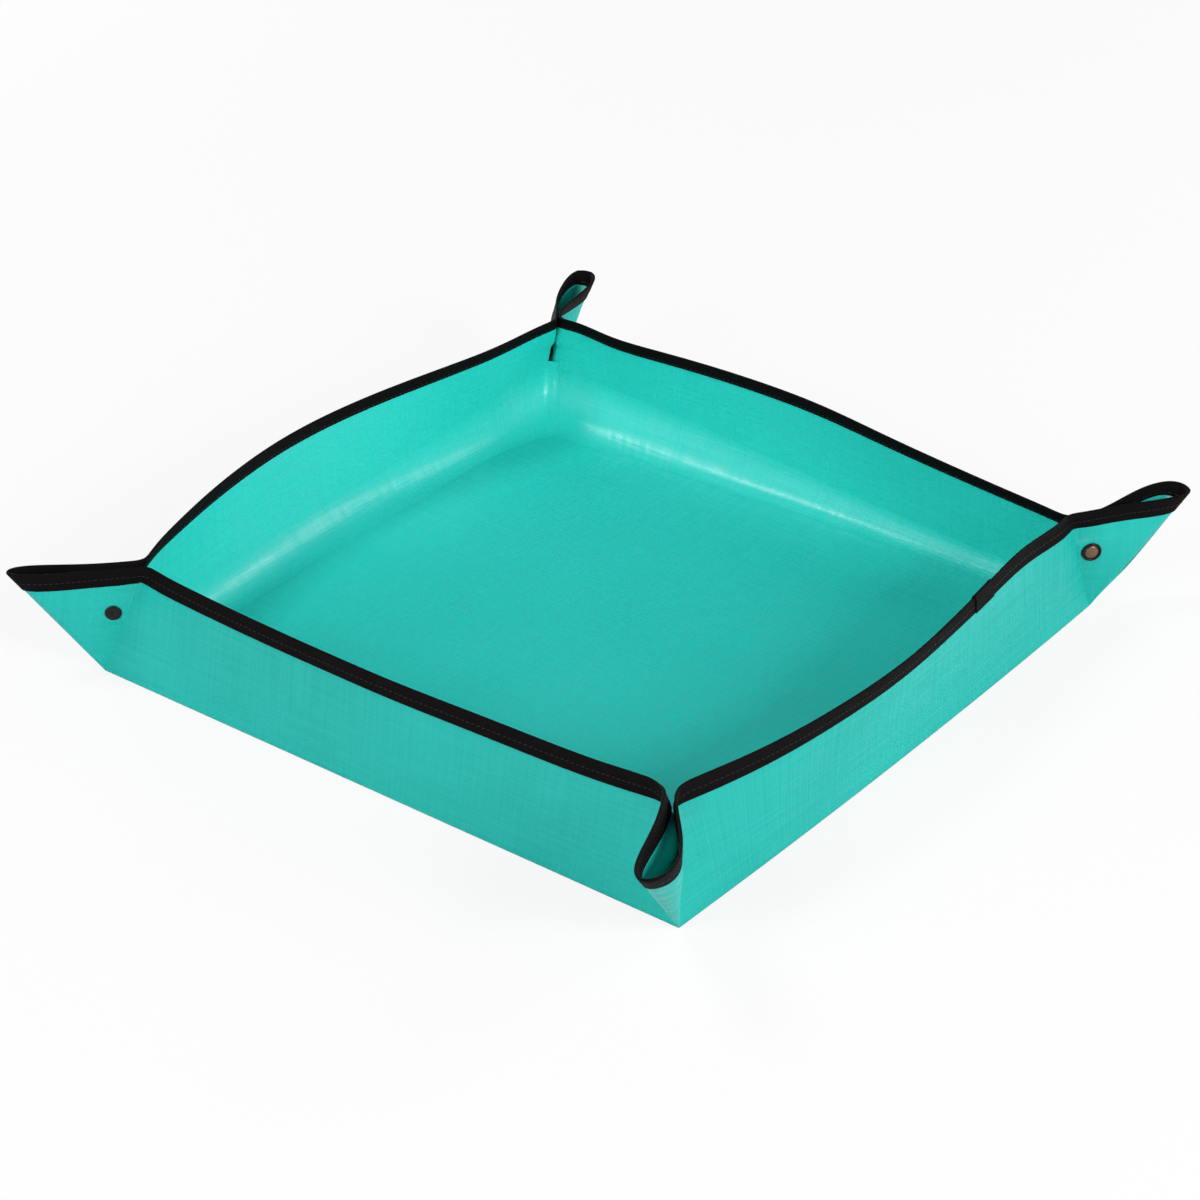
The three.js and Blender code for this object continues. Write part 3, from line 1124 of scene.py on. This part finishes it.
@dataclass
class RimBinding:
    """The tape folded over a rim: a wide leg outside, a narrow one inside and a row of stitches."""

    finishes: Finishes
    outside: float = 0.013
    inside: float = 0.009
    gap: float = 0.00035
    tape: float = 0.00075
    fold_at: float = 0.0007
    stitch_below: float = 0.0072
    stitch_pitch: float = 0.0042
    stitch_half: float = 0.0013
    thread: float = 0.00065
    proud: float = 0.00018
    leg_rows: int = 5
    fold_rows: int = 4
    tape_edge: float = 0.0002
    stitch_edge: float = 0.00016
    lap_edge: float = 0.00025
    lap_tape: float = 1.2
    lap_columns: int = 14
    crease_tape: float = 0.7
    crease_columns: int = 8

    def section(self, gap: float) -> list[tuple[float, float]]:
        """The tape's section.

        Args:
            gap: How far its inner face stands from the middle of the sheet.

        Returns:
            Depths below the rim with distances out from the sheet's middle, from outer hem to inner hem.
        """
        rows = self.leg_rows
        outer = [(lerp(self.outside, self.fold_at, i / rows), gap) for i in range(rows)]
        fold = []
        for i in range(self.fold_rows + 1):
            angle = math.pi * i / self.fold_rows
            fold.append((self.fold_at - gap * math.sin(angle), gap * math.cos(angle)))
        inner = [(lerp(self.fold_at, self.inside, i / rows), -gap) for i in range(1, rows + 1)]
        return outer + fold + inner

    def band(self, panel: Panel, columns: int, span: tuple[float, float], gap: float) -> BMesh:
        """Make a length of the tape.

        Args:
            panel: The panel whose rim it covers.
            columns: Its faces along the rim.
            span: The shares of the rim that it starts and ends at.
            gap: How far its inner face stands from the middle of the sheet.

        Returns:
            The mesh of the tape's inner face, facing out.
        """
        section = self.section(gap)
        last = len(section) - 1

        def spot(run: float, turn: float) -> tuple[float, float, float]:
            """The share of the rim, the depth and the distance out at two shares of the band."""
            below, out = section[round(turn * last)]
            return lerp(span[0], span[1], panel.spread(run)), below, out

        def place(run: float, turn: float) -> Vector:
            """A point of the band."""
            along, below, out = spot(run, turn)
            return panel.point(along, below) + panel.outward(along, below) * out

        def cloth(run: float, turn: float) -> tuple[float, float]:
            """The same place on the flat mat."""
            along, below, _ = spot(run, turn)
            return panel.cloth(along, below)

        bm = bmesh.new()
        verts = add_grid(bm, columns, last, place, cloth)
        middle = (span[0] + span[1]) / 2
        out = panel.outward(middle, self.outside / 2)
        face_towards(bm, verts, panel.point(middle, self.outside / 2) + out * gap, out)
        return bm

    def sew(self, piece: Object, panel: Panel) -> Object:
        """Make a piece of tape or thread move with its panel, and give it back."""
        follow(piece, panel)
        return piece

    def build(self, panel: Panel, columns: int) -> list[Object]:
        """Make a panel's binding and its stitches.

        Args:
            panel: The panel whose rim it covers.
            columns: The binding's faces along the rim.

        Returns:
            The tape and its stitches.
        """
        band = self.band(panel, columns, (0.0, 1.0), self.gap)
        tape = make_piece(f"{panel.name}_tape", band, [self.finishes.tape])
        thicken(tape, self.tape, 1)
        round_edges(tape, self.tape_edge, 2)
        pieces = [self.sew(tape, panel), self.sew(self.stitches(panel), panel)]
        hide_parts(f"{panel.name}_binding")
        return pieces

    def stitches(self, panel: Panel) -> Object:
        """Make the row of stitches through both legs of the tape.

        Args:
            panel: The panel whose rim is sewn.

        Returns:
            The stitches' object.
        """
        bm = bmesh.new()
        count = max(1, int(panel.rim_run / self.stitch_pitch))
        half = self.stitch_half / panel.rim_run
        for i in range(count):

            def spot(run: float, turn: float, middle: float = (i + 0.5) / count) -> tuple[float, float]:
                """The share of the rim and the depth at two shares of a stitch."""
                return middle + (2 * run - 1) * half, self.stitch_below + (turn - 0.5) * self.thread

            verts = add_panel(bm, panel, 2, 1, spot)
            middle = spot(0.5, 0.5)
            face_towards(bm, verts, panel.point(*middle), panel.outward(*middle))
        piece = make_piece(f"{panel.name}_stitches", bm, [self.finishes.thread])
        thicken(piece, 2 * (self.gap + self.tape + self.proud), 0)
        round_edges(piece, self.stitch_edge, 1)
        return piece

    def crease(self, panel: Panel, flap: Panel, reach: float) -> Object:
        """Carry a wall's tape on through a crease, inside the flap's own.

        Args:
            panel: The wall.
            flap: The flap past the crease.
            reach: How far it reaches past the crease.

        Returns:
            The strip of tape.
        """
        inner = replace(self, outside=self.outside - self.tape / 2, inside=self.inside - self.tape / 2)
        gap = self.gap + self.tape * (1 - self.crease_tape) / 2
        bm = inner.band(flap, self.crease_columns, (0.0, reach / flap.rim_run), gap)
        piece = make_piece(f"{flap.name}_crease_tape", bm, [self.finishes.tape])
        thicken(piece, self.tape * self.crease_tape, 1)
        return self.sew(piece, panel)

    def lap(self, panel: Panel, span: tuple[float, float]) -> Object:
        """Make the end of the tape where it laps over its start.

        Args:
            panel: The panel whose rim it is on.
            span: The shares of the rim that it covers.

        Returns:
            The lapped end's object.
        """
        bm = self.band(panel, self.lap_columns, span, self.gap + self.tape)
        piece = make_piece(f"{panel.name}_tape_lap", bm, [self.finishes.tape])
        thicken(piece, self.tape * self.lap_tape, 1)
        round_edges(piece, self.lap_edge, 2)
        return self.sew(piece, panel)


@dataclass
class Wall:
    """One wall: its sheet with the soft roll at its foot, and its binding."""

    form: WallForm
    sizes: MatSizes
    finishes: Finishes
    binding: RimBinding
    columns: int = 150
    rows: int = 30
    roll_rows: int = 18
    roll_hem: float = 0.12
    roll_thins_from: float = 0.5
    crease_lap: float = 0.011
    crease_share: float = 0.4
    crease_least: float = 0.02
    crease_sheet: float = 0.3
    crease_columns: int = 6

    def build(self) -> list[Object]:
        """Make the wall's pieces.

        Returns:
            The sheet and the pieces on it.
        """
        panel = WallPanel(self.form, self.sizes)
        pieces = self.binding.build(panel, self.columns)
        if self.form.tape_lap:
            pieces.append(self.binding.lap(panel, self.form.tape_lap))
        turn = self.form.turn
        for ear, side in ((EARS[turn], FlapSide.ENDING), (EARS[turn - 1], FlapSide.STARTING)):
            pieces += self.crease(panel, FlapPanel(ear, side, self.sizes))
        sheet = self.sheet(panel)
        follow(sheet, panel)
        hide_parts(panel.name)
        return [sheet, *pieces]

    def crease(self, panel: WallPanel, flap: FlapPanel) -> list[Object]:
        """Carry the wall's sheet and tape on through a crease, inside the flap's own.

        Args:
            panel: The wall's surface.
            flap: The surface of the flap past the crease.

        Returns:
            A strip of the sheet and a strip of the tape.
        """

        def spot(run: float, rise: float) -> tuple[float, float]:
            """The share of the flap's rim and the depth at two shares of the strip."""
            below = lerp(flap.depth, self.sizes.sheet_edge, rise)
            width = flap.rim_run * max(self.crease_least, 1 - below / flap.depth)
            return min(self.crease_share, self.crease_lap / width) * run, below

        bm = bmesh.new()
        verts = add_panel(bm, flap, self.crease_columns, self.rows, spot)
        middle = spot(0.5, 0.6)
        face_towards(bm, verts, flap.point(*middle), flap.outward(*middle))
        bmesh.ops.remove_doubles(bm, verts=bm.verts[:], dist=DOUBLES_APART)
        sheet = make_piece(f"{flap.name}_crease", bm, [self.finishes.outer, self.finishes.inner])
        thicken(sheet, self.sizes.sheet * self.crease_sheet, 0)
        follow(sheet, panel)
        return [sheet, self.binding.crease(panel, flap, self.crease_lap)]

    def sheet(self, panel: WallPanel) -> Object:
        """Make the wall's sheet and the roll at its foot.

        Args:
            panel: The wall's surface.

        Returns:
            The sheet's object.
        """
        top = self.sizes.sheet_edge

        def spot(run: float, rise: float) -> tuple[float, float]:
            """The share of the rim and the depth at two shares of the grid."""
            return panel.spread(run), lerp(panel.depth, top, rise)

        bm = bmesh.new()
        weights = bm.verts.layers.deform.verify()
        verts = add_panel(bm, panel, self.columns, self.rows, spot)
        middle = 0.5, panel.depth / 2
        face_towards(bm, verts, panel.point(*middle), panel.outward(*middle))
        roll = add_grid(
            bm,
            self.columns,
            self.roll_rows,
            lambda run, rise: panel.roll_point(panel.spread(run), rise),
            lambda run, rise: panel.roll_cloth(panel.spread(run), rise),
        )
        face_towards(bm, roll, panel.roll_point(0.5, 0.5), panel.outward(*middle) - UP)
        for vert in verts:
            vert[weights][0] = 1.0
        for vert, (_, rise) in roll.items():
            vert[weights][0] = lerp(1, self.roll_hem, smoothstep(rise, self.roll_thins_from, 1))
        piece = make_piece(f"{panel.name}_sheet", bm, [self.finishes.outer, self.finishes.inner])
        group = piece.vertex_groups.new(name="thickness")
        thicken(piece, self.sizes.sheet, 0, group.name)
        return piece


@dataclass
class Snap:
    """A press snap: cap and socket on one flap, post and stud on the other."""

    finishes: Finishes
    from_rim: float = 0.036
    from_crease: float = 0.011
    cap_radius: float = 0.0075
    cap_height: float = 0.0019
    post_radius: float = 0.006
    post_height: float = 0.0013
    socket_radius: float = 0.005
    stud_radius: float = 0.0044
    nub_radius: float = 0.0027
    hole_radius: float = 0.0032
    stud_base: float = 0.0006
    nub_height: float = 0.0008
    nub_shoulder: float = 0.0003
    stud_edge: float = 0.0004
    seat_gap: float = 0.00002
    clearance: float = 0.00015
    weld: float = 1e-6
    edge: float = 0.00018
    dome_to: float = 0.62
    dome_drop: float = 0.0005
    groove_from: float = 0.66
    groove_to: float = 0.71
    groove_depth: float = 0.0009
    ring_from: float = 0.73
    ring_low: float = 0.35
    ring_rise: float = 0.5
    cap_foot: float = 0.96
    dimple_from: float = 0.25
    dimple_to: float = 0.36
    dimple_low: float = 0.55
    post_flat: float = 0.95
    post_edge_from: float = 0.7
    post_edge_low: float = 0.35
    post_foot: float = 0.97
    steps: int = 48

    def seat(self, panel: FlapPanel) -> tuple[float, float]:
        """Where the snap sits: the share along the rim and the depth below it."""
        share = 1 - self.from_rim / panel.sizes.wall_depth
        return self.from_crease / (panel.rim_run * share), panel.depth * (1 - share)

    def frame_at(self, panel: FlapPanel, outside: bool) -> Matrix:
        """The place of a turned piece on a flap.

        Args:
            panel: The flap.
            outside: Whether it sits on the outer face.

        Returns:
            A matrix whose z points away from the flap.
        """
        along, below = self.seat(panel)
        way = panel.outward(along, below) * (1 if outside else -1)
        place = panel.point(along, below) + way * (panel.sizes.sheet / 2)
        return Matrix.Translation(place) @ way.to_track_quat("Z", "Y").to_matrix().to_4x4()

    def turned_piece(
        self,
        name: str,
        profile: Sequence[tuple[float, float]],
        place: Matrix,
        materials: Sequence[Material],
    ) -> Object:
        """Spin a profile round the snap's axis.

        Args:
            name: The piece's name.
            profile: Radii and heights, from the axis round to the axis or closed on itself.
            place: Where it sits.
            materials: Its materials, the first for its middle.

        Returns:
            The piece.
        """
        bm = bmesh.new()
        verts = [bm.verts.new((radius, 0, height)) for radius, height in profile]
        for first, second in zip(verts, verts[1:]):
            bm.edges.new((first, second))
        if profile[0][0] > 0:
            bm.edges.new((verts[-1], verts[0]))
        bmesh.ops.spin(
            bm,
            geom=bm.verts[:] + bm.edges[:],
            axis=(0, 0, 1),
            cent=(0, 0, 0),
            angle=2 * math.pi,
            steps=self.steps,
            use_merge=True,
        )
        bmesh.ops.remove_doubles(bm, verts=bm.verts[:], dist=self.weld)
        bmesh.ops.recalc_face_normals(bm, faces=bm.faces[:])
        if len(materials) > 1:
            for face in bm.faces:
                middle = face.calc_center_median()
                reach = math.hypot(middle.x, middle.y)
                face.material_index = 0 if reach < self.cap_radius * self.groove_from else 1
        bmesh.ops.transform(bm, matrix=place, verts=bm.verts[:])
        piece = make_piece(name, bm, materials)
        round_edges(piece, self.edge, 2)
        return piece

    def cap_profile(self) -> list[tuple[float, float]]:
        """A domed middle, a groove and a rolled ring."""
        radius, height = self.cap_radius, self.cap_height
        low = height - self.groove_depth
        dome = [(radius * self.dome_to * i / 6, height - self.dome_drop * (i / 6) ** 2) for i in range(7)]
        groove = [(radius * self.groove_from, low), (radius * self.groove_to, low)]
        ring = []
        for i in range(9):
            angle = math.pi * i / 8
            reach = lerp(self.ring_from, 1, (1 - math.cos(angle)) / 2)
            ring.append((radius * reach, height * (self.ring_low + self.ring_rise * math.sin(angle))))
        return dome + groove + ring + [(radius * self.cap_foot, self.seat_gap), (0, self.seat_gap)]

    def post_profile(self) -> list[tuple[float, float]]:
        """A flat rivet head with a dimple and a rounded edge."""
        radius, height = self.post_radius, self.post_height
        low, high = height * self.dimple_low, height * self.post_flat
        dimple = [(0, low), (radius * self.dimple_from, low), (radius * self.dimple_to, high)]
        edge = []
        for i in range(7):
            angle = math.pi / 2 * i / 6
            reach = lerp(self.post_edge_from, 1, math.sin(angle))
            edge.append((radius * reach, height * lerp(self.post_edge_low, 1, math.cos(angle))))
        return dimple + edge + [(radius * self.post_foot, self.seat_gap), (0, self.seat_gap)]

    def socket_profile(self, room: float) -> list[tuple[float, float]]:
        """A ring with a hole for the stud, as high as its half of the gap between the flaps."""
        return [
            (self.hole_radius, self.seat_gap),
            (self.hole_radius, room * 0.9),
            (self.hole_radius * 1.15, room),
            (self.socket_radius * 0.8, room),
            (self.socket_radius, room * 0.7),
            (self.socket_radius, self.seat_gap),
        ]

    def stud_profile(self, room: float) -> list[tuple[float, float]]:
        """A base with a waisted nub, which reaches into the socket past its half of the gap."""
        return [
            (0, room + self.nub_height),
            (self.nub_radius * 0.8, room + self.nub_height),
            (self.nub_radius, room + self.nub_shoulder),
            (self.nub_radius * 0.86, room * 0.8),
            (self.nub_radius * 0.95, self.stud_base),
            (self.stud_radius * 0.92, self.stud_base),
            (self.stud_radius, self.stud_edge),
            (self.stud_radius, self.seat_gap),
            (0, self.seat_gap),
        ]

    def build(self, ear: EarForm, flaps: dict[FlapSide, FlapPanel]) -> dict[FlapSide, list[Object]]:
        """Make an ear's snap.

        Args:
            ear: The ear.
            flaps: Its two flaps.

        Returns:
            The pieces on each flap.
        """
        ending, starting = flaps[FlapSide.ENDING], flaps[FlapSide.STARTING]
        ends = [self.frame_at(panel, False).translation for panel in (ending, starting)]
        room = (ends[0] - ends[1]).length / 2 - self.clearance
        bronze, black = self.finishes.bronze, self.finishes.black
        made = {
            "cap": (ending, True, self.cap_profile(), [bronze, black]),
            "socket": (ending, False, self.socket_profile(room), [black]),
            "post": (starting, True, self.post_profile(), [black]),
            "stud": (starting, False, self.stud_profile(room), [black]),
        }
        pieces: dict[FlapSide, list[Object]] = {side: [] for side in FlapSide}
        for kind, (panel, outside, profile, materials) in made.items():
            place = self.frame_at(panel, outside)
            piece = self.turned_piece(f"{ear.name}_{kind}", profile, place, materials)
            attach(piece, panel.body)
            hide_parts(f"{ear.name}_snap_{kind}")
            pieces[panel.side].append(piece)
        return pieces


@dataclass
class Ear:
    """One folded ear: two flaps, their bindings and the snap that holds them together."""

    form: EarForm
    sizes: MatSizes
    finishes: Finishes
    binding: RimBinding
    snap: Snap
    columns: int = 44
    rows: int = 34

    def build(self) -> list[Object]:
        """Make the ear's pieces.

        Returns:
            All its pieces.
        """
        flaps = {side: FlapPanel(self.form, side, self.sizes) for side in FlapSide}
        snaps = self.snap.build(self.form, flaps)
        made = []
        for side, panel in flaps.items():
            pieces = self.binding.build(panel, self.columns) + snaps[side]
            sheet = self.sheet(panel)
            follow(sheet, panel)
            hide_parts(f"{panel.name}_flap")
            made += [sheet, *pieces]
        return made

    def sheet(self, panel: FlapPanel) -> Object:
        """Make a flap's sheet.

        Args:
            panel: The flap's surface.

        Returns:
            The sheet's object.
        """

        def spot(run: float, rise: float) -> tuple[float, float]:
            """The share of the rim and the depth at two shares of the grid."""
            return panel.spread(run), lerp(panel.depth, self.sizes.sheet_edge, rise)

        bm = bmesh.new()
        verts = add_panel(bm, panel, self.columns, self.rows, spot)
        middle = 0.4, panel.depth / 2
        face_towards(bm, verts, panel.point(*middle), panel.outward(*middle))
        bmesh.ops.remove_doubles(bm, verts=bm.verts[:], dist=DOUBLES_APART)
        piece = make_piece(f"{panel.name}_sheet", bm, [self.finishes.outer, self.finishes.inner])
        thicken(piece, self.sizes.sheet, 0)
        return piece


@dataclass(frozen=True)
class Lamp:
    """A square soft lamp that looks at the mat: its place, its side and its power in watts."""

    name: str
    place: tuple[float, float, float]
    size: float
    power: float
    aim: tuple[float, float, float] = (0, 0, 0.04)

    def build(self) -> None:
        """Make the lamp."""
        data = bpy.data.lights.new(self.name, "AREA")
        data.size = self.size
        data.energy = self.power
        lamp = bpy.data.objects.new(self.name, data)
        turn = (Vector(self.aim) - Vector(self.place)).to_track_quat("-Z", "Y")
        lamp.matrix_world = Matrix.Translation(self.place) @ turn.to_matrix().to_4x4()
        bpy.context.scene.collection.objects.link(lamp)


LAMPS = (
    Lamp("key_lamp", place=(2.5, -0.2, 1.2), size=1.0, power=51.5),
    Lamp("front_lamp", place=(-0.2, -2.4, 1.15), size=1.4, power=39.0),
    Lamp("back_roll_lamp", place=(-1.3, -0.55, 2.05), size=0.68, power=16.5),
    Lamp("left_roll_lamp", place=(1.35, 1.6, 1.15), size=0.9, power=11.0),
    Lamp("left_fill_lamp", place=(-2.3, 0.9, 0.4), size=0.7, power=24.0),
    Lamp("back_fill_lamp", place=(0.6, 2.4, 0.4), size=0.7, power=20.0),
)


@dataclass
class Studio:
    """A plain white studio: floor, soft lamps and the camera."""

    azimuth_deg: float = 37.2467
    elevation_deg: float = 31.1405
    roll_deg: float = 0.3236
    place: tuple[float, float, float] = (1.4281, -1.8841, 1.4600)
    focal_px: float = 3843.0
    frame_px: float = 1200.0
    sensor: float = 36.0
    view_end: float = 50.0
    floor_half: float = 8.0
    floor_drop: float = 0.0002
    floor_grey: float = 0.86
    floor_roughness: float = 0.9
    floor_specular: float = 0.1
    floor_glow: float = 0.83
    world_strength: float = 0.09

    def camera(self) -> None:
        """Make the camera at the photograph's place."""
        data = bpy.data.cameras.new("studio_camera")
        data.sensor_width = self.sensor
        data.lens = self.sensor * self.focal_px / self.frame_px
        data.clip_end = self.view_end
        camera = bpy.data.objects.new("studio_camera", data)
        azimuth, elevation = math.radians(self.azimuth_deg), math.radians(self.elevation_deg)
        level = math.cos(elevation)
        back = Vector((math.sin(azimuth) * level, -math.cos(azimuth) * level, math.sin(elevation)))
        right = Vector((math.cos(azimuth), math.sin(azimuth), 0))
        upward = back.cross(right)
        axes = Matrix((right, upward, back)).transposed()
        turn = axes @ Matrix.Rotation(math.radians(self.roll_deg), 3, "Z")
        camera.matrix_world = Matrix.Translation(self.place) @ turn.to_4x4()
        bpy.context.scene.collection.objects.link(camera)
        bpy.context.scene.camera = camera

    def world(self) -> None:
        """Make a white world that lights the mat softly and shows white behind it."""
        world = bpy.data.worlds.new("studio_world")
        world.use_nodes = True
        pen = NodePen(world.node_tree)
        rays = pen.add("LightPath").outputs
        seen = pen.math("MAXIMUM", rays["Is Camera Ray"], rays["Is Transmission Ray"])
        background = next(n for n in world.node_tree.nodes if n.type == "BACKGROUND")
        background.inputs["Color"].default_value = (1, 1, 1, 1)
        pen.join(background, Strength=pen.ramp(seen, self.world_strength, 1.0))
        bpy.context.scene.world = world

    def floor(self) -> None:
        """Make the pale floor, which shows white and keeps a soft shadow."""
        bm = bmesh.new()
        bmesh.ops.create_grid(bm, x_segments=1, y_segments=1, size=self.floor_half)
        bmesh.ops.translate(bm, vec=(0, 0, -self.floor_drop), verts=bm.verts[:])
        material, pen, shader = new_material("pale_floor")
        grey = self.floor_grey
        shader.inputs["Base Color"].default_value = (grey, grey, grey, 1)
        shader.inputs["Roughness"].default_value = self.floor_roughness
        shader.inputs["Specular IOR Level"].default_value = self.floor_specular
        seen = pen.add("LightPath").outputs["Is Camera Ray"]
        glow = pen.add("Emission", None, Color=(1, 1, 1, 1), Strength=1.0).outputs[0]
        share = pen.ramp(seen, 0.0, self.floor_glow)
        mixed = pen.add("MixShader", None, Fac=share, i1=shader.outputs[0], i2=glow)
        output = next(n for n in material.node_tree.nodes if n.type == "OUTPUT_MATERIAL")
        material.node_tree.links.new(mixed.outputs[0], output.inputs["Surface"])
        make_piece("studio_floor", bm, [material])

    def build(self) -> None:
        """Make the studio."""
        bpy.context.scene.view_settings.view_transform = "Standard"
        self.camera()
        self.world()
        self.floor()
        for lamp in LAMPS:
            lamp.build()


def main() -> None:
    """Build the studio and the mat."""
    logging.basicConfig(level=logging.INFO, format="%(name)s: %(message)s")
    Studio().build()
    sizes, finishes = MatSizes(), Finishes.make()
    binding, snap = RimBinding(finishes), Snap(finishes)
    pieces = [FloorSheet(sizes, finishes).build()]
    for form in WALLS:
        pieces += Wall(form, sizes, finishes, binding).build()
    for ear in EARS:
        pieces += Ear(ear, sizes, finishes, binding, snap).build()
    for piece in pieces:
        LOG.info("%s: %d faces before its modifiers", piece.name, len(piece.data.polygons))


if __name__ == "__main__":
    main()
